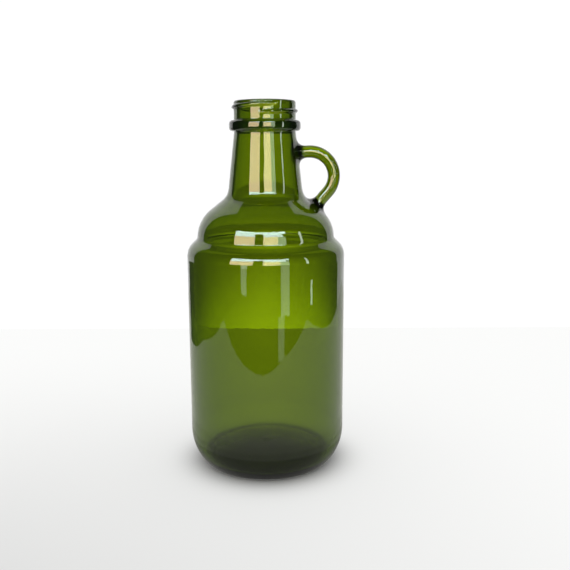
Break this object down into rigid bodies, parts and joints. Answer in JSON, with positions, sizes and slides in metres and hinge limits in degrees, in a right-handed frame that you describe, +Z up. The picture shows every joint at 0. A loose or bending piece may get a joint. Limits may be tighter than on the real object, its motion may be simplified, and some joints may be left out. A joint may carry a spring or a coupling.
{
  "type": "glass jug",
  "caption": "Small green glass carboy jug with a wide screw neck, a transfer bead and a finger-ring handle, for fermenting or storing cider, wine or must.",
  "frame": {"origin": "centre of the bearing ring on the table plane, on the jug's axis", "axes": "+Z up the jug's axis towards the mouth; +X towards the finger handle; -Y is the side seen with the handle on the right"},
  "size_m": [0.0902, 0.0902, 0.209],
  "materials": {
    "green_glass": "clear olive-green container glass, fire-polished outside"
  },
  "bodies": {
    "root": {"finish_wall": "green_glass", "screw_thread": "green_glass", "transfer_bead": "green_glass", "neck": "green_glass", "shoulder": "green_glass", "body_wall": "green_glass", "heel": "green_glass", "floor_plate": "green_glass", "bearing_ring": "green_glass", "finger_handle": "green_glass"}
  },
  "joints": []
}
